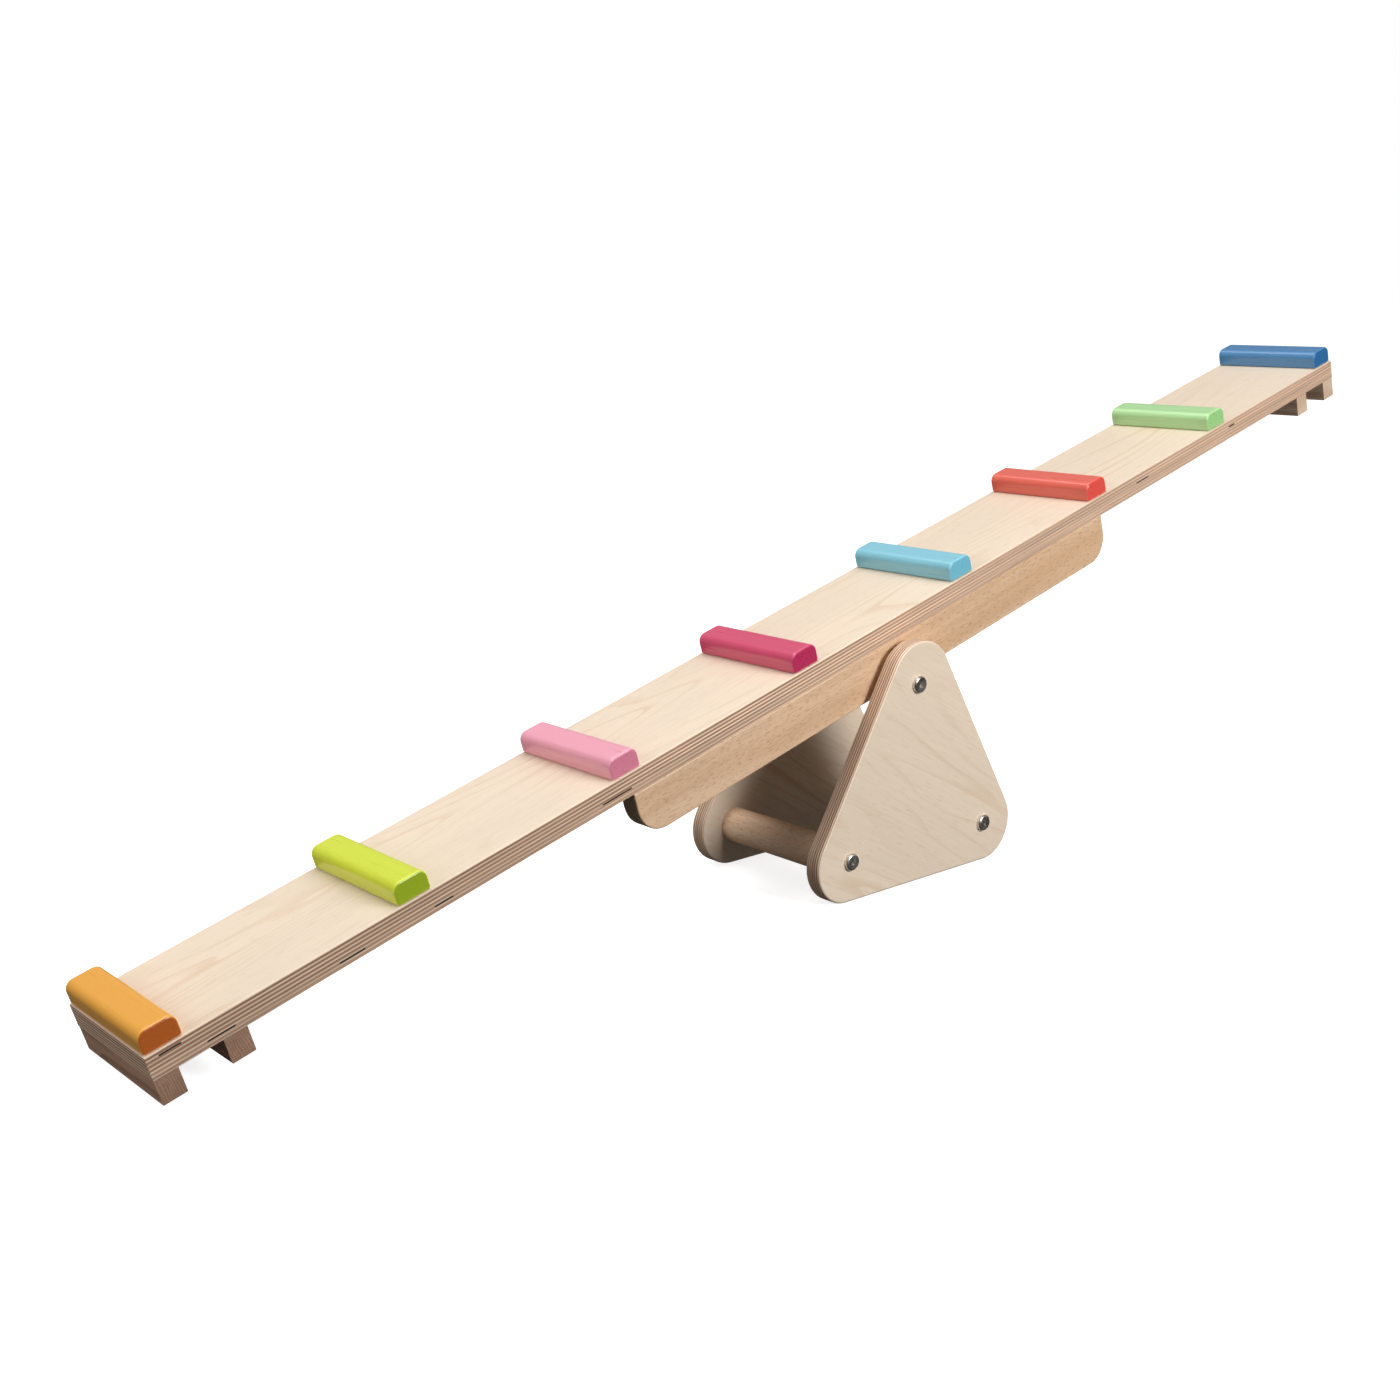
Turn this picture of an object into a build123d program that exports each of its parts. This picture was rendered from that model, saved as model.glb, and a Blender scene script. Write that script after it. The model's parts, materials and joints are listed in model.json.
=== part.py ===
from build123d import *
from math import asin, atan2, cos, degrees, hypot, radians, sin
import os

# A wooden seesaw: a long plywood plank with painted foot bars, rocking on a low triangular stand.
# Millimetres. +X along the seesaw towards its raised end, +Y to the far side, +Z up.
# The origin is on the floor, midway along the ground that the seesaw covers.
# At rest the plank leans on its left end.

# --- plank ---
plank_length = 1600.0
plank_width = 135.0
plank_thickness = 21.0
plank_edge_radius = 1.0

# --- foot bars, across the top ---
bar_names = ["orange", "lime", "pink", "magenta", "sky", "red", "green", "blue"]
bar_width = 32.4
bar_height = 19.2
bar_length = 131.5
bar_top_radius = 8.0
bar_foot_radius = 2.5
bar_end_radius = 2.0
bar_end_inset = 1.0

# --- hook blocks, two under each end with a gap between them for a rung ---
block_height = 22.5
block_length = 20.5
block_width = 134.0
block_end_inset = 0.6
block_radius = 1.8
hook_gap = 37.5

# --- beams under the middle of the plank ---
beam_length = 670.0
beam_depth = 45.0
beam_thickness = 21.0
beam_nose_radius = 27.0
beam_shoulder_radius = 4.0
beam_edge_radius = 1.5

# --- stand ---
# The plates and the base rails are centred a little to the right of the pivot.
pivot_height = 200.0
pivot_drop = 64.0
rail_diameter = 35.0
rail_length = 147.0
stand_offset = 5.0
rail_spread = 191.0
rail_height = 40.5
plate_width = 276.0
plate_top_height = 242.0
plate_foot_radius = 38.5
plate_crown_radius = 42.0
plate_thickness = 18.0
plate_edge_radius = 2.5
saddle_clearance = 0.3

# --- stand hardware ---
bolt_head_diameter = 17.0
bolt_head_height = 4.0
bolt_head_radius = 2.2
bolt_diameter = 8.0
bolt_hole_diameter = 8.4
bolt_shank_length = 34.0
bolt_socket = 5.0
bolt_socket_depth = 2.8
insert_diameter = 12.0
insert_bore = 8.1
insert_length = 20.0

# --- wood screws and pins ---
screw_diameter = 4.0
screw_head_diameter = 8.0
screw_head_height = 2.0
screw_head_taper = 45.0
screw_slot_length = 4.8
screw_slot_width = 1.2
screw_slot_depth = 1.2
bar_screw_length = 32.0
end_screw_length = 55.0
block_screw_length = 38.0
screw_spread = 70.0
pin_diameter = 8.0
pin_length = 30.0
pin_depth_in_plank = 12.0
pin_positions = (-280.0, -95.0, 95.0, 280.0)

# --- worked out from the sizes above ---
half_length = plank_length / 2
half_width = plank_width / 2
bar_pitch = (plank_length - bar_width - 2 * bar_end_inset) / (len(bar_names) - 1)
bar_positions = [(i - (len(bar_names) - 1) / 2) * bar_pitch for i in range(len(bar_names))]
outer_block_x = half_length - block_end_inset - block_length / 2
inner_block_x = outer_block_x - block_length - hook_gap
foot_reach = plate_width / 2 - plate_foot_radius

# The plank tilts until the rounded lower corner of its left end block touches the floor.
corner_reach = half_length - block_end_inset - block_radius
corner_rise = pivot_drop - plank_thickness - block_height + block_radius
tilt = asin((pivot_height - block_radius) / hypot(corner_reach, corner_rise))
tilt += atan2(corner_rise, corner_reach)

# The pivot stands a little to the right of the origin, because the left end reaches further out.
left_reach = half_length * cos(tilt) + (pivot_drop + bar_height / 2) * sin(tilt)
right_reach = half_length * cos(tilt) - (corner_rise - block_radius) * sin(tilt)
pivot_x = (left_reach - right_reach) / 2

# --- planes ---
lengthwise = Vector(cos(tilt), 0, sin(tilt))
upright = Vector(-sin(tilt), 0, cos(tilt))
pivot = Vector(pivot_x, 0, pivot_height)
deck = Plane(origin=pivot + upright * pivot_drop, x_dir=lengthwise, z_dir=upright)
underside = deck.offset(-plank_thickness)
block_foot = underside.offset(-block_height)
board_side = Plane(origin=deck.origin, x_dir=lengthwise, z_dir=(0, -1, 0))
stand_side = Plane(origin=(pivot_x, 0, 0), x_dir=(1, 0, 0), z_dir=(0, -1, 0))
board_up = Axis(deck.origin, upright)

# --- places of the fixings ---
rail_centres = [
    (0, pivot_height),
    (stand_offset - rail_spread / 2, rail_height),
    (stand_offset + rail_spread / 2, rail_height),
]
foot_centres = [(stand_offset + reach, plate_foot_radius) for reach in (-foot_reach, foot_reach)]
crown_centre = (stand_offset, plate_top_height - plate_crown_radius)
screw_rows = (-screw_spread / 2, screw_spread / 2)
bar_screw_spots = [(x, y) for x in bar_positions[1:-1] for y in screw_rows]
end_screw_spots = [(x, y) for x in (-outer_block_x, outer_block_x) for y in screw_rows]
block_screw_spots = [(x, y) for x in (-inner_block_x, inner_block_x) for y in screw_rows]
pin_row = half_width - beam_thickness / 2
pin_spots = [(x, y) for x in pin_positions for y in (-pin_row, pin_row)]

os.makedirs("parts", exist_ok=True)


def save(part, name):
    """Label a finished piece and write its STEP file."""
    part.label = name
    export_step(part, f"parts/{name}.step")


def discs(plane, spots, diameter):
    """Round profiles on a plane, one at each spot."""
    with BuildSketch(plane) as profile:
        with Locations(*spots):
            Circle(diameter / 2)
    return profile.sketch


def cut_screw_holes(plane, spots, depth, head=True):
    """Cut screw holes up from a plane into the part being built, with countersinks if asked."""
    extrude(discs(plane, spots, screw_diameter), amount=depth, mode=Mode.SUBTRACT)
    if head:
        cone = discs(plane, spots, screw_head_diameter)
        extrude(cone, amount=screw_head_height, taper=screw_head_taper, mode=Mode.SUBTRACT)


# ---------------------------------------------------------------- plank
with BuildPart() as plank:
    with BuildSketch(deck):
        Rectangle(plank_length, plank_width)
    extrude(amount=-plank_thickness)
    fillet(plank.edges(), plank_edge_radius)
    cut_screw_holes(underside, bar_screw_spots, plank_thickness)
    cut_screw_holes(underside, end_screw_spots, plank_thickness, head=False)
    cut_screw_holes(underside, block_screw_spots, block_screw_length - block_height, head=False)
    extrude(discs(underside, pin_spots, pin_diameter), amount=pin_depth_in_plank, mode=Mode.SUBTRACT)
save(plank.part, "plank")

# ---------------------------------------------------------------- foot bars
for position, name in zip(bar_positions, bar_names):
    at_end = abs(position) == max(bar_positions)
    screw_depth = end_screw_length - block_height if at_end else bar_screw_length
    screw_x = (outer_block_x if position > 0 else -outer_block_x) if at_end else position
    with BuildPart() as bar:
        with BuildSketch(board_side.offset(bar_length / 2)):
            with Locations((position, bar_height / 2)):
                Rectangle(bar_width, bar_height)
        extrude(amount=-bar_length)
        long_edges = bar.edges().filter_by(Axis.Y).group_by(board_up)
        fillet(long_edges[-1], bar_top_radius)
        fillet(long_edges[0], bar_foot_radius)
        ends = bar.faces().sort_by(Axis.Y)
        fillet(ends[0].edges() + ends[-1].edges(), bar_end_radius)
        bar_spots = [(screw_x, y) for y in screw_rows]
        cut_screw_holes(underside, bar_spots, screw_depth, head=False)
    save(bar.part, f"bar_{name}")

# ---------------------------------------------------------------- hook blocks
hook_blocks = [
    ("hook_block_left_outer", -outer_block_x),
    ("hook_block_left_inner", -inner_block_x),
    ("hook_block_right_inner", inner_block_x),
    ("hook_block_right_outer", outer_block_x),
]
for name, position in hook_blocks:
    with BuildPart() as block:
        with BuildSketch(block_foot):
            with Locations((position, 0)):
                Rectangle(block_length, block_width)
        extrude(amount=block_height)
        foot = block.faces().sort_by(board_up)[0]
        fillet(foot.edges(), block_radius)
        block_spots = [(position, y) for y in screw_rows]
        cut_screw_holes(block_foot, block_spots, block_height)
    save(block.part, name)

# ---------------------------------------------------------------- beams
# Each beam's half-round saddle sits over the pivot rail.
beam_middle = -plank_thickness - beam_depth / 2
for name, face_offset, inward in (("beam_near", half_width, -1), ("beam_far", -half_width, 1)):
    with BuildPart() as beam:
        with BuildSketch(board_side.offset(face_offset)):
            with Locations((0, beam_middle)):
                outline = Rectangle(beam_length, beam_depth)
            fillet(outline.vertices().group_by(Axis.Y)[0], beam_nose_radius)
            fillet(outline.vertices().group_by(Axis.Y)[-1], beam_shoulder_radius)
            with Locations((0, -pivot_drop)):
                Circle(rail_diameter / 2 + saddle_clearance, mode=Mode.SUBTRACT)
        extrude(amount=inward * beam_thickness)
        sides = beam.faces().sort_by(Axis.Y)
        fillet(sides[0].edges() + sides[-1].edges(), beam_edge_radius)
        row = pin_row if inward > 0 else -pin_row
        beam_spots = [(x, row) for x in pin_positions]
        pin_depth = pin_length - pin_depth_in_plank
        extrude(discs(underside, beam_spots, pin_diameter), amount=-pin_depth, mode=Mode.SUBTRACT)
    save(beam.part, name)

# ---------------------------------------------------------------- side plates
for name, side, inward in (("side_plate_near", 1, -1), ("side_plate_far", -1, 1)):
    outer_face = stand_side.offset(side * (rail_length / 2 + plate_thickness))
    with BuildPart() as plate:
        with BuildSketch(outer_face):
            with Locations(*foot_centres):
                Circle(plate_foot_radius)
            with Locations(crown_centre):
                Circle(plate_crown_radius)
            make_hull()
        extrude(amount=inward * plate_thickness)
        fillet(plate.edges().filter_by(lambda edge: abs(edge.center().Y) > 0), plate_edge_radius)
        bolt_holes = discs(outer_face, rail_centres, bolt_hole_diameter)
        extrude(bolt_holes, amount=inward * plate_thickness, mode=Mode.SUBTRACT)
    save(plate.part, name)

# ---------------------------------------------------------------- round rails
for name, centre in zip(("pivot_rail", "base_rail_left", "base_rail_right"), rail_centres):
    with BuildPart() as rail:
        extrude(discs(stand_side, [centre], rail_diameter), amount=rail_length / 2, both=True)
        near_end = stand_side.offset(rail_length / 2)
        far_end = stand_side.offset(-rail_length / 2)
        for end, inward in ((near_end, -1), (far_end, 1)):
            extrude(discs(end, [centre], insert_diameter), amount=inward * insert_length, mode=Mode.SUBTRACT)
    save(rail.part, name)

# ---------------------------------------------------------------- stand hardware
for suffix, side, inward in (("near", 1, -1), ("far", -1, 1)):
    rail_end = stand_side.offset(side * rail_length / 2)
    outer_face = stand_side.offset(side * (rail_length / 2 + plate_thickness))
    head_top = stand_side.offset(side * (rail_length / 2 + plate_thickness + bolt_head_height))

    with BuildPart() as inserts:
        extrude(discs(rail_end, rail_centres, insert_diameter), amount=inward * insert_length)
        bore = discs(rail_end, rail_centres, insert_bore)
        extrude(bore, amount=inward * insert_length, mode=Mode.SUBTRACT)
    save(inserts.part, f"inserts_{suffix}")

    with BuildPart() as bolts:
        extrude(discs(outer_face, rail_centres, bolt_head_diameter), amount=-inward * bolt_head_height)
        head_faces = bolts.faces().group_by(Axis.Y)[0 if side > 0 else -1]
        fillet(head_faces.edges(), bolt_head_radius)
        extrude(discs(outer_face, rail_centres, bolt_diameter), amount=inward * bolt_shank_length)
        with BuildSketch(head_top) as sockets:
            with Locations(*rail_centres):
                RegularPolygon(bolt_socket / 2, 6, major_radius=False)
        extrude(amount=inward * bolt_socket_depth, mode=Mode.SUBTRACT)
    save(bolts.part, f"bolts_{suffix}")

# ---------------------------------------------------------------- wood screws and pins
screw_sets = [
    ("bar_screws", underside, bar_screw_spots, bar_screw_length),
    ("end_screws", block_foot, end_screw_spots, end_screw_length),
    ("inner_block_screws", block_foot, block_screw_spots, block_screw_length),
]
for name, plane, spots, length in screw_sets:
    with BuildPart() as screws:
        extrude(discs(plane, spots, screw_diameter), amount=length)
        extrude(discs(plane, spots, screw_head_diameter), amount=screw_head_height, taper=screw_head_taper)
        with BuildSketch(plane) as recesses:
            with Locations(*spots):
                Rectangle(screw_slot_length, screw_slot_width)
                Rectangle(screw_slot_width, screw_slot_length)
        extrude(amount=screw_slot_depth, mode=Mode.SUBTRACT)
    save(screws.part, name)

with BuildPart() as pins:
    pin_top = underside.offset(pin_depth_in_plank)
    extrude(discs(pin_top, pin_spots, pin_diameter), amount=-pin_length)
save(pins.part, "beam_pins")

print(f"tilt {degrees(tilt):.3f} deg, pivot_x {pivot_x:.3f}")
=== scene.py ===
import json
from math import cos, radians, sin

import bpy
from mathutils import Matrix, Quaternion, Vector

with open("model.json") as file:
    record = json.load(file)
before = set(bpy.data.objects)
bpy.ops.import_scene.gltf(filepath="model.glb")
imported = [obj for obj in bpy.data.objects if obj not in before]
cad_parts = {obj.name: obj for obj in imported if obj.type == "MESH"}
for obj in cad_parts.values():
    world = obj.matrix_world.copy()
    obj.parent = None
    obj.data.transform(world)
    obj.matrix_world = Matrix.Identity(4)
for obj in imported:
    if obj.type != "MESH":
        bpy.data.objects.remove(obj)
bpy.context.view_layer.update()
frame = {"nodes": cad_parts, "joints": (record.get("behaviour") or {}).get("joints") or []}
nodes = frame["nodes"]

# --- the two places that materials and pieces are laid out from ---
hinge = frame["joints"][0]
pivot = Vector(hinge["pos_m"])
tilt = radians(hinge["range_deg"][1] / 2)
board_place = Matrix.Translation(pivot) @ Matrix.Rotation(-tilt, 4, "Y")
stand_place = Matrix.Translation((pivot.x, 0, 0))


def box_in(place, name):
    """Lowest and highest corners of a CAD node, in the axes of the board or of the stand."""
    turned = [place.inverted() @ v.co for v in nodes[name].data.vertices]
    lowest = Vector(min(p[i] for p in turned) for i in range(3))
    highest = Vector(max(p[i] for p in turned) for i in range(3))
    return lowest, highest


def srgb(red, green, blue):
    """A linear colour from the usual 0 to 255 values."""
    linear = [((c / 255 + 0.055) / 1.055) ** 2.4 for c in (red, green, blue)]
    return (*linear, 1)


# ------------------------------------------------------------ shader arithmetic
# A noise's values between these are spread over the whole of what it shades.
noise_low = 0.25
noise_high = 0.75


class Value:
    """A shader output. Arithmetic on it adds Math nodes to its material."""

    def __init__(self, shader, socket):
        self.shader = shader
        self.socket = socket

    def math(self, operation, *others):
        return self.shader.math(operation, self, *others)

    def __add__(self, other):
        return self.math("ADD", other)

    def __sub__(self, other):
        return self.math("SUBTRACT", other)

    def __rsub__(self, other):
        return self.shader.math("SUBTRACT", other, self)

    def __mul__(self, other):
        return self.math("MULTIPLY", other)

    def __abs__(self):
        return self.math("ABSOLUTE")

    def floor(self):
        return self.math("FLOOR")

    def fraction(self):
        return self.math("FRACT")

    def largest(self, other):
        return self.math("MAXIMUM", other)

    def step(self, low, high, bottom=0.0, top=1.0):
        """A smooth step from bottom to top as the value goes from low to high."""
        inputs = {"Value": self, "From Min": low, "From Max": high, "To Min": bottom, "To Max": top}
        return self.shader.add("MapRange", inputs, interpolation_type="SMOOTHSTEP")

    def ring_line(self, start, peak):
        """A ring's dark line, for a value that runs from 0 to 1: it grows slowly and ends sharply."""
        return self.step(start, peak) * self.step(peak, 1.0, 1.0, 0.0)


class Shader:
    """One material, laid out in the axes of the board or of the stand."""

    def __init__(self, name, place):
        self.material = bpy.data.materials.new(name)
        self.material.use_nodes = True
        self.tree = self.material.node_tree
        self.tree.nodes.clear()
        coordinates = self.tree.nodes.new("ShaderNodeTexCoord")
        point = self.vector_math("SUBTRACT", coordinates.outputs["Object"], place.translation)
        turn = place.to_quaternion().inverted().to_euler()
        self.point = self.turned(point, turn)
        self.normal = self.turned(coordinates.outputs["Normal"], turn)

    def add(self, kind, inputs, output=0, **settings):
        """Adds a node and returns one of its outputs."""
        node = self.tree.nodes.new("ShaderNode" + kind)
        for setting, value in settings.items():
            setattr(node, setting, value)
        for key, value in inputs.items():
            value = value.socket if isinstance(value, Value) else value
            if isinstance(value, bpy.types.NodeSocket):
                self.tree.links.new(value, node.inputs[key])
            else:
                node.inputs[key].default_value = value
        return Value(self, node.outputs[output])

    def math(self, operation, *values):
        return self.add("Math", dict(enumerate(values)), operation=operation)

    def vector_math(self, operation, first, second):
        return self.add("VectorMath", {0: first, 1: second}, operation=operation)

    def turned(self, vector, turn):
        return self.add("VectorRotate", {"Vector": vector, "Rotation": turn}, rotation_type="EULER_XYZ")

    def parts(self, vector):
        """The three components of a vector."""
        node = self.add("SeparateXYZ", {0: vector}).socket.node
        return [Value(self, output) for output in node.outputs]

    def joined(self, x, y, z):
        return self.add("CombineXYZ", {0: x, 1: y, 2: z})

    def noise(self, vector, scale, detail=2.0, roughness=0.5, distortion=0.0):
        """Noise from 0 to 1. The scale is in features per metre along each axis."""
        stretched = self.vector_math("MULTIPLY", vector, Vector(scale))
        settings = {
            "Vector": stretched,
            "Scale": 1.0,
            "Detail": detail,
            "Roughness": roughness,
            "Distortion": distortion,
        }
        return self.add("TexNoise", settings)

    def mix(self, factor, first, second):
        """First colour at factor 0, second at 1. A Mix node's colours are its sockets 6 and 7."""
        inputs = {"Factor": factor, 6: first, 7: second}
        return self.add("Mix", inputs, output=2, data_type="RGBA")

    def between(self, factor, first, second):
        """First value at factor 0, second at 1. A Mix node's plain values are its sockets 2 and 3."""
        return self.add("Mix", {0: factor, 2: first, 3: second}, data_type="FLOAT")

    def shade(self, colour, factor):
        """A colour made lighter or darker."""
        return self.add("VectorMath", {0: colour, "Scale": factor}, operation="SCALE")

    def vary(self, colour, noise, darkest, lightest):
        """A colour shaded by a noise."""
        return self.shade(colour, noise.step(noise_low, noise_high, darkest, lightest))

    def finish(self, colour, roughness, relief=None, depth=0.0001, strength=1.0, **fixed):
        """Joins everything to the surface, with relief from 0 to 1 over `depth` metres.

        `fixed` sets further sockets to plain values, with an underscore for each space.
        """
        inputs = {"Base Color": colour, "Roughness": roughness}
        if relief is not None:
            bump = {"Height": relief, "Distance": depth, "Strength": strength}
            inputs["Normal"] = self.add("Bump", bump)
        inputs.update({key.replace("_", " "): value for key, value in fixed.items()})
        surface = self.add("BsdfPrincipled", inputs)
        output = self.tree.nodes.new("ShaderNodeOutputMaterial")
        self.tree.links.new(surface.socket, output.inputs["Surface"])
        return self.material


def paint_nodes(names, material):
    """Gives CAD nodes a material in place of the plain one they come with."""
    for name in names:
        for slot in nodes[name].material_slots:
            slot.material = material


# ------------------------------------------------------------ wood
birch_face = srgb(238, 219, 196)
birch_latewood = srgb(208, 166, 124)
birch_long_edge = srgb(244, 220, 194)
birch_end_grain = srgb(182, 132, 100)
glue_line = srgb(104, 68, 48)
# painted shade for the gaps in the core plies
void_painted_shade = srgb(22, 10, 6)
beam_beech = (srgb(234, 200, 166), srgb(214, 174, 136))
# the rails' beech is a paler copy of the beam's, as painted light
rail_beech_painted_light = (srgb(252, 218, 186), srgb(240, 194, 154))
beech_fleck = srgb(160, 112, 76)
# one hardwood in two tones: the left end's blocks darker as painted shade, the right end's paler as
# painted light
block_tones_painted_shade = (srgb(190, 150, 124), srgb(124, 90, 70))
block_tones_painted_light = (srgb(248, 220, 192), srgb(206, 166, 134))
thin_lacquer = {"Coat_Weight": 0.12, "Coat_Roughness": 0.25}
satin_coat = {"Coat_Weight": 0.3, "Coat_Roughness": 0.08}


def birch_ply(name, place, depth_axis, top, thickness, plies, grain_angle, figure, lines, fade, voids):
    """Birch plywood as a solid: plies with their grain crossed, glue lines and a figured face.

    Depth is measured from `top` along the sheet's thickness axis, and the face grain runs at
    grain_angle to the sheet's long axis. `figure` is how strongly the face's contour lines show,
    and `lines` how close they are. `fade` is None, or the two places between which the edge's
    layers come to stand out less. Each void is a gap in a core ply: its place along the edge,
    its depth and its half length.
    """
    s = Shader(name, place)
    x, y, z = s.parts(s.point)
    nx, ny, nz = s.parts(s.normal)
    if depth_axis == "z":
        length, breadth, depth = x, y, top - z
        n_length, n_breadth, n_face = nx, ny, abs(nz)
    else:
        length, breadth, depth = x, z, top - abs(y)
        n_length, n_breadth, n_face = nx, nz, abs(ny)
    c = cos(grain_angle)
    d = sin(grain_angle)
    along = length * c + breadth * d
    across = breadth * c - length * d
    n_along = n_length * c + n_breadth * d
    n_across = n_breadth * c - n_length * d
    solid = s.joined(along, across, depth)
    on_edge = n_face.step(0.6, 0.93, 1.0, 0.0)

    # plies: they waver a little, and the outer ones are thinner from sanding, both in plies
    sanded = 0.12
    waver = 0.3
    wander = s.noise(solid, (14, 14, 60)) - 0.5
    layer = depth * ((plies - 2 * sanded) / thickness) + sanded + wander * waver
    index = layer.floor()
    inside = layer.fraction()
    crossed = abs(index.math("MODULO", 2.0)).step(0.4, 0.6)
    glue_reach = 0.16
    to_glue = 0.5 - abs(inside - 0.5)
    glue = to_glue.step(0.0, glue_reach, 1.0, 0.0)

    # how much each ply shows its end grain
    end_grain = s.between(crossed, n_along * n_along, n_across * n_across).step(0.1, 0.85)

    # fibres in each ply's own direction, different in every ply
    ply_shift = index * 0.37
    fibres = [
        s.noise(s.joined(first, second, ply_shift), (9, 420, 1), detail=4, roughness=0.65)
        for first, second in ((along, across), (across, along))
    ]
    fibre = s.between(crossed, *fibres)

    # the contour lines of peeled veneer, with soft clouds and short pores
    hill = s.noise(solid, (1.3, 8.5, 9), detail=1.8, roughness=0.45, distortion=0.3)
    line = (hill * lines + across * 12.0).fraction().ring_line(0.62, 0.94)
    patchy = s.noise(solid, (3.2, 15, 20), detail=2).step(0.38, 0.72, 0.12, 1.0)
    cloud = s.noise(solid, (1.5, 9, 20), detail=2).step(0.3, 0.7)
    pores = s.noise(solid, (55, 900, 900), detail=1).step(0.62, 0.74)
    face = s.mix(line * patchy * figure, birch_face, birch_latewood)
    face = s.mix(pores * 0.35, face, birch_latewood)
    face = s.vary(face, fibre, 0.965, 1.03)
    face = s.shade(face, cloud.step(0.0, 1.0, 0.975, 1.02))

    # the edge: pale long plies between brown end-grain plies, plainer in the sheet's lower part
    contrast = depth.step(0.5 * thickness, 0.75 * thickness, 1.0, 0.6)
    if fade:
        contrast = contrast * length.step(*fade, 1.0, 0.45)
    run = s.noise(s.joined(length, index, breadth), (6.0, 3.1, 6.0), detail=2).step(0.3, 0.7)
    edge = s.mix(end_grain, birch_long_edge, birch_end_grain)
    edge = s.mix(glue * 0.75, edge, glue_line)
    plain = s.mix(0.55, birch_long_edge, birch_end_grain)
    edge = s.mix(contrast, plain, edge)
    # painted shade: the edge is made darker towards the left end, where less light falls
    left_end_painted_shade = length.step(-0.75, -0.1, 0.84, 1.0)
    edge = s.shade(edge, run.step(0.0, 1.0, 0.86, 1.12) * left_end_painted_shade)
    edge = s.vary(edge, fibre, 0.95, 1.04)
    colour = s.mix(on_edge, face, edge)

    # gaps in the core plies, painted black as the shade inside them: they follow the wander and are 1
    # to 1.6 mm high
    if voids:
        gap = 0.0
        for centre, gap_depth, half_length in voids:
            close = abs(length - centre).step(half_length * 0.8, half_length, 1.0, 0.0)
            level = abs(depth + wander * 0.0004 - gap_depth).step(0.0005, 0.0008, 1.0, 0.0)
            gap = close * level + gap
        colour = s.mix(gap.step(0.0, 0.7) * on_edge, colour, void_painted_shade)

    relief = fibre * 0.4 - on_edge * glue * 0.4
    roughness = on_edge.step(0.0, 1.0, 0.4, 0.58)
    return s.finish(colour, roughness, relief, **thin_lacquer)


def beech(name, place, grain, light, dark):
    """Solid beech with its grain along "x" or "y": soft bands, fine streaks and short dark flecks."""
    s = Shader(name, place)
    x, y, z = s.parts(s.point)
    normal = s.parts(s.normal)["xy".index(grain)]
    solid = s.joined(x, y, z) if grain == "x" else s.joined(y, x, z)
    band = s.noise(solid, (1.6, 38, 38), detail=3, roughness=0.6, distortion=0.4)
    streak = s.noise(solid, (14, 560, 560), detail=4, roughness=0.7)
    dash = s.noise(solid, (150, 1300, 1300), detail=0.0)
    cloud = s.noise(solid, (5, 12, 12), detail=2)
    colour = s.mix(band.step(0.3, 0.72), light, dark)
    colour = s.vary(colour, streak, 0.95, 1.05)
    colour = s.vary(colour, cloud, 0.95, 1.05)
    flecks = dash.step(0.6, 0.72)
    colour = s.mix(flecks * 0.4, colour, beech_fleck)
    end = abs(normal).step(0.6, 0.9)
    colour = s.shade(colour, end.step(0.0, 1.0, 1.0, 0.75))
    relief = streak * 0.6 - flecks * 0.4
    return s.finish(colour, 0.42, relief, **thin_lacquer)


def block_wood(name, light, dark):
    """Plain hardwood with its grain across the board, and growth rings as fine lines."""
    s = Shader(name, board_place)
    x, y, z = s.parts(s.point)
    end = abs(s.parts(s.normal)[1]).step(0.6, 0.9)
    solid = s.joined(y, x, z)
    warp = s.noise(solid, (4, 40, 25), detail=2, roughness=0.5)
    # rings per metre
    rings_along = 420.0
    rings_up = 70.0
    line = (x * rings_along + z * rings_up + warp * 5.0).fraction().ring_line(0.3, 0.95)
    streak = s.noise(solid, (8, 600, 600), detail=4, roughness=0.7)
    pore = s.noise(solid, (160, 1700, 1700), detail=0.0)
    band = s.noise(solid, (2.0, 60, 60), detail=2)
    colour = s.mix(line * 0.45 + band.step(0.35, 0.7, 0.0, 0.3), light, dark)
    colour = s.vary(colour, streak, 0.88, 1.08)
    colour = s.mix(pore.step(0.6, 0.72) * 0.45, colour, dark)
    colour = s.shade(colour, end.step(0.0, 1.0, 1.0, 0.85))
    return s.finish(colour, 0.5, streak * 0.6 - line * 0.3, depth=0.00012)


# ------------------------------------------------------------ paint and metal
def bar_paint(name, flat_colour, end_colour):
    """Satin paint: the grain shows faintly, ends have a stronger colour, and eased edges get a painted
    highlight.
    """
    s = Shader(name, board_place)
    x, y, z = s.parts(s.point)
    nx, ny, nz = s.parts(s.normal)
    end = abs(ny).step(0.55, 0.9)
    squareness = abs(nx).largest(abs(ny)).largest(abs(nz))
    eased_edge_highlight = squareness.step(0.9, 0.99, 1.0, 0.0)
    grain = s.noise(s.joined(y, x, z), (9, 260, 260), detail=3, roughness=0.6)
    colour = s.mix(end, flat_colour, end_colour)
    colour = s.vary(colour, grain, 0.99, 1.01)
    # painted highlight: the eased edges are made a touch lighter
    colour = s.shade(colour, eased_edge_highlight.step(0.0, 1.0, 1.0, 1.05))
    roughness = grain.step(noise_low, noise_high, 0.27, 0.29)
    return s.finish(colour, roughness, grain, strength=0.06, **satin_coat)


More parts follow.
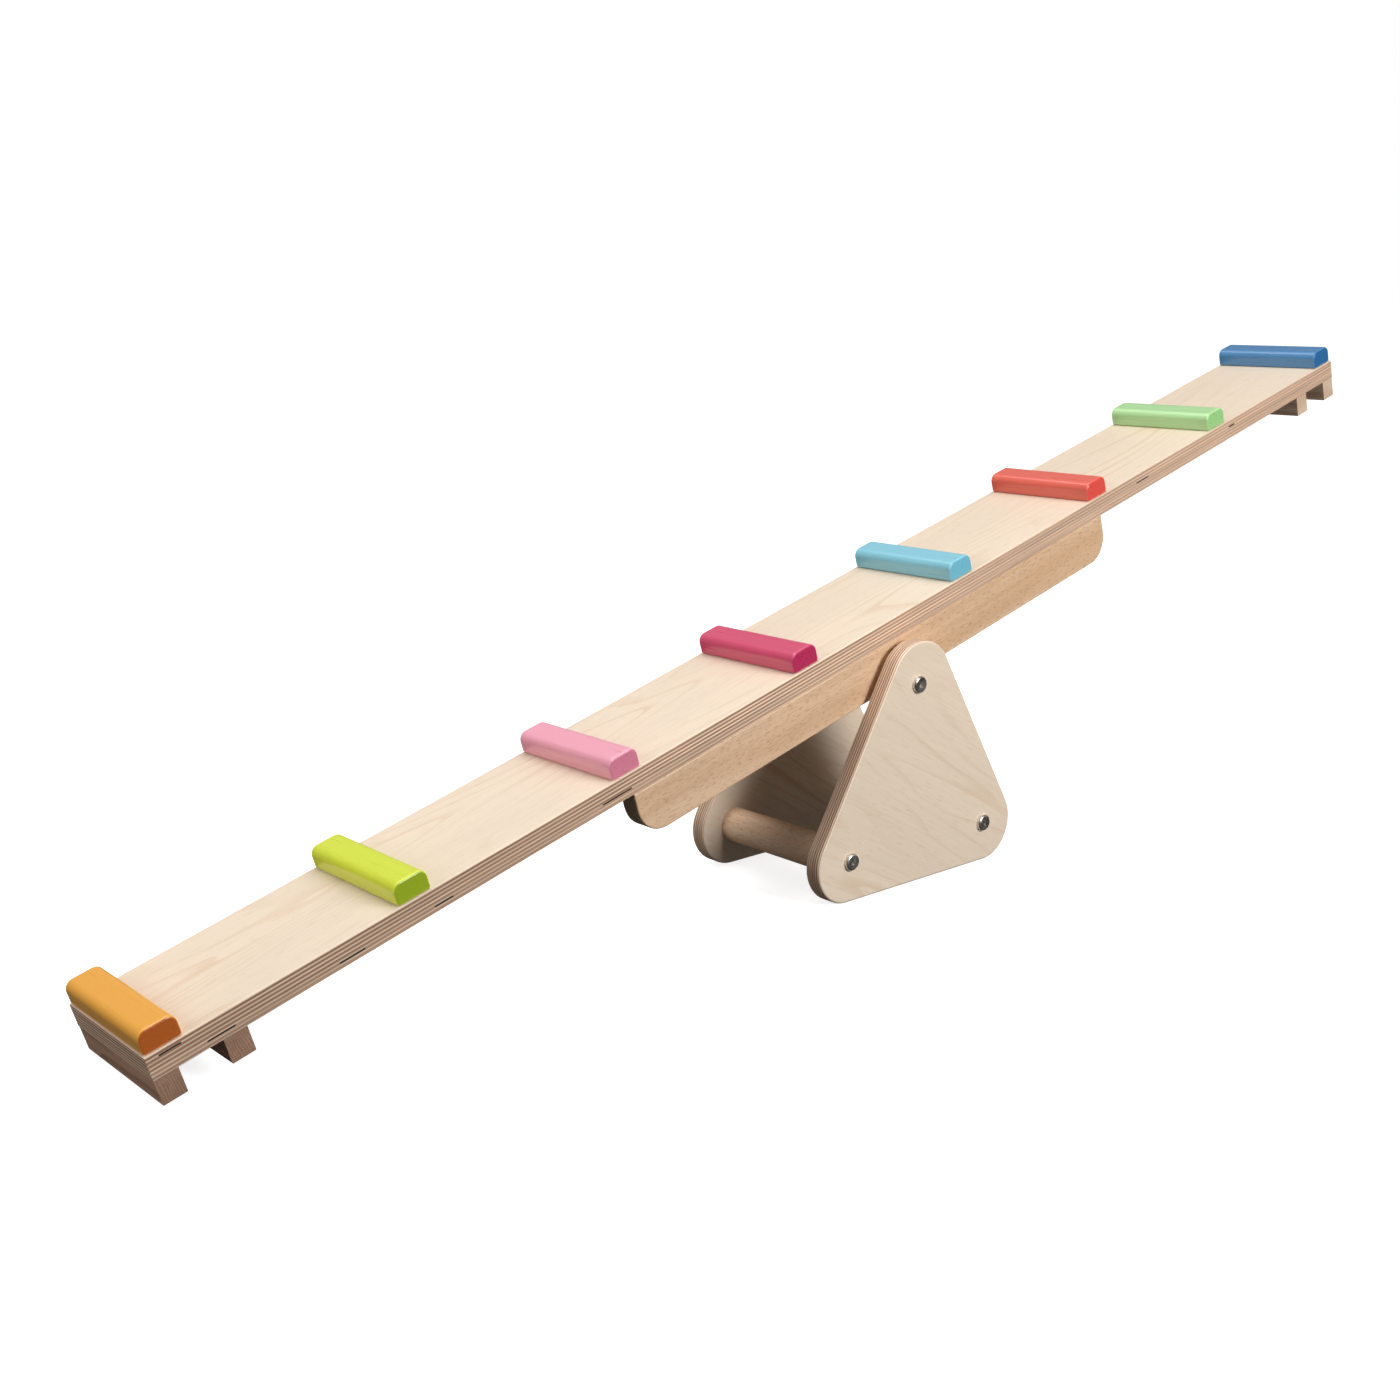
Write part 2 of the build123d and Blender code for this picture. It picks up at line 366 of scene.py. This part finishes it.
def steel(name, bright, dull, roughness):
    """Plated steel with fine tool marks and a little handling wear."""
    s = Shader(name, stand_place)
    mark = s.noise(s.point, (900, 900, 900), detail=2)
    wear = s.noise(s.point, (120, 120, 120), detail=3)
    colour = s.mix(wear.step(0.3, 0.7), dull, bright)
    rough = wear.step(0.3, 0.7, roughness * 0.8, roughness * 1.25)
    return s.finish(colour, rough, mark, depth=0.00003, Metallic=1.0)


plank_low, plank_high = box_in(board_place, "plank")
plate_low, plate_high = box_in(stand_place, "side_plate_far")
# place along the edge, depth below the face and half length, in metres
plank_voids = [
    (-0.780, 0.0042, 0.010),
    (-0.741, 0.0150, 0.013),
    (-0.625, 0.0153, 0.013),
    (-0.537, 0.0153, 0.010),
    (-0.352, 0.0140, 0.018),
    (0.412, 0.0090, 0.012),
    (0.585, 0.0072, 0.006),
]
plank_sheet = birch_ply(
    name="plank_ply",
    place=board_place,
    depth_axis="z",
    top=plank_high.z,
    thickness=plank_high.z - plank_low.z,
    plies=13,
    grain_angle=radians(0.6),
    figure=0.36,
    lines=20.0,
    fade=(-0.25, 0.35),
    voids=plank_voids,
)
plate_sheet = birch_ply(
    name="plate_ply",
    place=stand_place,
    depth_axis="y",
    top=plate_high.y,
    thickness=plate_high.y - plate_low.y,
    plies=13,
    grain_angle=radians(-29),
    figure=0.36,
    lines=19.0,
    fade=None,
    voids=[],
)
paint_nodes(["plank"], plank_sheet)
paint_nodes(["side_plate_near", "side_plate_far"], plate_sheet)
paint_nodes(["beam_near", "beam_far"], beech("beam_beech", board_place, "x", *beam_beech))
paint_nodes(["beam_pins"], beech("pin_beech", board_place, "y", *beam_beech))
rails = ["pivot_rail", "base_rail_left", "base_rail_right"]
paint_nodes(rails, beech("rail_beech_painted_light", stand_place, "y", *rail_beech_painted_light))
# the left blocks take the painted-shade tones, the right blocks the painted-light tones
for end_name, tones in (("left", block_tones_painted_shade), ("right", block_tones_painted_light)):
    blocks = [name for name in nodes if name.startswith(f"hook_block_{end_name}")]
    paint_nodes(blocks, block_wood(f"block_wood_{end_name}", *tones))

# flat colour, then the stronger colour of the ends
paints = {
    "orange": (srgb(240, 172, 70), srgb(190, 98, 38)),
    "lime": (srgb(216, 228, 66), srgb(158, 182, 36)),
    "pink": (srgb(244, 168, 186), srgb(222, 132, 156)),
    "magenta": (srgb(216, 84, 118), srgb(190, 48, 94)),
    "sky": (srgb(140, 204, 222), srgb(120, 192, 214)),
    "red": (srgb(232, 108, 92), srgb(232, 86, 74)),
    "green": (srgb(180, 224, 160), srgb(162, 216, 140)),
    "blue": (srgb(80, 134, 182), srgb(46, 110, 166)),
}
for colour_name, (flat_colour, end_colour) in paints.items():
    paint_nodes([f"bar_{colour_name}"], bar_paint(f"paint_{colour_name}", flat_colour, end_colour))

plated = steel("bolt_steel", srgb(232, 228, 220), srgb(206, 200, 190), 0.3)
brassy = steel("screw_steel", srgb(220, 202, 146), srgb(180, 160, 110), 0.3)
paint_nodes(["bolts_near", "bolts_far"], plated)
paint_nodes(["inserts_near", "inserts_far", "bar_screws", "end_screws", "inner_block_screws"], brassy)


# ------------------------------------------------------------ studio
white = (1, 1, 1, 1)


def white_floor():
    """A pale floor that fades to the backdrop's white and throws no light up at the object."""
    bpy.ops.mesh.primitive_circle_add(vertices=96, radius=40, fill_type="NGON", location=(0, 0, 0))
    floor = bpy.context.object
    floor.name = "floor"
    s = Shader("floor_white", Matrix.Identity(4))
    away = s.add("VectorMath", {0: s.point}, output=1, operation="LENGTH")
    fade_start = 0.8
    fade_end = 3.5
    glow = away.step(fade_start, fade_end, 0.8, 1.0)
    surface = s.finish(srgb(232, 232, 232), 0.9, Emission_Color=white, Emission_Strength=glow)
    floor.data.materials.append(surface)
    floor.visible_diffuse = False
    floor.visible_glossy = False


def soft_world(sky, ground, backdrop):
    """Soft light from above the horizon, hardly any from below, and a white backdrop to look at."""
    world = bpy.data.worlds.new("studio")
    bpy.context.scene.world = world
    world.use_nodes = True
    tree = world.node_tree
    tree.nodes.clear()
    direction = tree.nodes.new("ShaderNodeTexCoord").outputs["Generated"]
    height = tree.nodes.new("ShaderNodeSeparateXYZ")
    tree.links.new(direction, height.inputs[0])
    blend = tree.nodes.new("ShaderNodeMapRange")
    tree.links.new(height.outputs[2], blend.inputs["Value"])
    settings = {"From Min": -0.1, "From Max": 0.35, "To Min": ground, "To Max": sky}
    for key, value in settings.items():
        blend.inputs[key].default_value = value
    light = tree.nodes.new("ShaderNodeBackground")
    tree.links.new(blend.outputs[0], light.inputs["Strength"])
    seen = tree.nodes.new("ShaderNodeBackground")
    seen.inputs["Strength"].default_value = backdrop
    for background in (light, seen):
        background.inputs["Color"].default_value = white
    choose = tree.nodes.new("ShaderNodeMixShader")
    path = tree.nodes.new("ShaderNodeLightPath")
    tree.links.new(path.outputs["Is Camera Ray"], choose.inputs[0])
    tree.links.new(light.outputs[0], choose.inputs[1])
    tree.links.new(seen.outputs[0], choose.inputs[2])
    output = tree.nodes.new("ShaderNodeOutputWorld")
    tree.links.new(choose.outputs[0], output.inputs["Surface"])


def softbox(name, place, aim, width, height, watts, reflected=True):
    """A rectangular light that the camera doesn't see, and reflections only if `reflected`."""
    light = bpy.data.lights.new(name, "AREA")
    light.shape = "RECTANGLE"
    light.size = width
    light.size_y = height
    light.energy = watts
    box = bpy.data.objects.new(name, light)
    box.location = place
    box.rotation_mode = "QUATERNION"
    box.rotation_quaternion = (Vector(aim) - Vector(place)).to_track_quat("-Z", "Y")
    box.visible_camera = False
    box.visible_glossy = reflected
    bpy.context.scene.collection.objects.link(box)


def photo_camera(place, aim, roll, lens):
    """A camera at `place` that looks at `aim`, turned by `roll` about that line. Lens in mm."""
    camera = bpy.data.objects.new("camera", bpy.data.cameras.new("camera"))
    camera.data.lens = lens
    camera.data.sensor_width = 36
    camera.location = place
    camera.rotation_mode = "QUATERNION"
    look = (Vector(aim) - Vector(place)).to_track_quat("-Z", "Y")
    camera.rotation_quaternion = look @ Quaternion((0, 0, 1), roll)
    bpy.context.scene.collection.objects.link(camera)
    bpy.context.scene.camera = camera


white_floor()
soft_world(sky=0.18, ground=0.05, backdrop=1.0)
softbox("top_light", (-0.35, 0.4, 2.6), (-0.1, 0, 0.2), width=2.4, height=2.0, watts=45)
softbox("front_light", (0.3, -2.3, 1.15), (0.2, 0, 0.2), width=1.0, height=0.8, watts=52)
# these two fill the sides, and would wash out the paint if it mirrored them
softbox("left_light", (-2.6, 0.5, 1.0), (-0.2, 0, 0.15), 2.0, 1.4, watts=20, reflected=False)
softbox("back_light", (0.4, 2.8, 1.5), (0, 0, 0.2), 2.2, 1.4, watts=14, reflected=False)
photo_camera(
    place=(-1.2491, -1.2300, 0.5793),
    aim=(-0.1867, 0, 0.2003),
    roll=radians(-0.428),
    lens=46.08,
)
bpy.context.scene.view_settings.view_transform = "Standard"
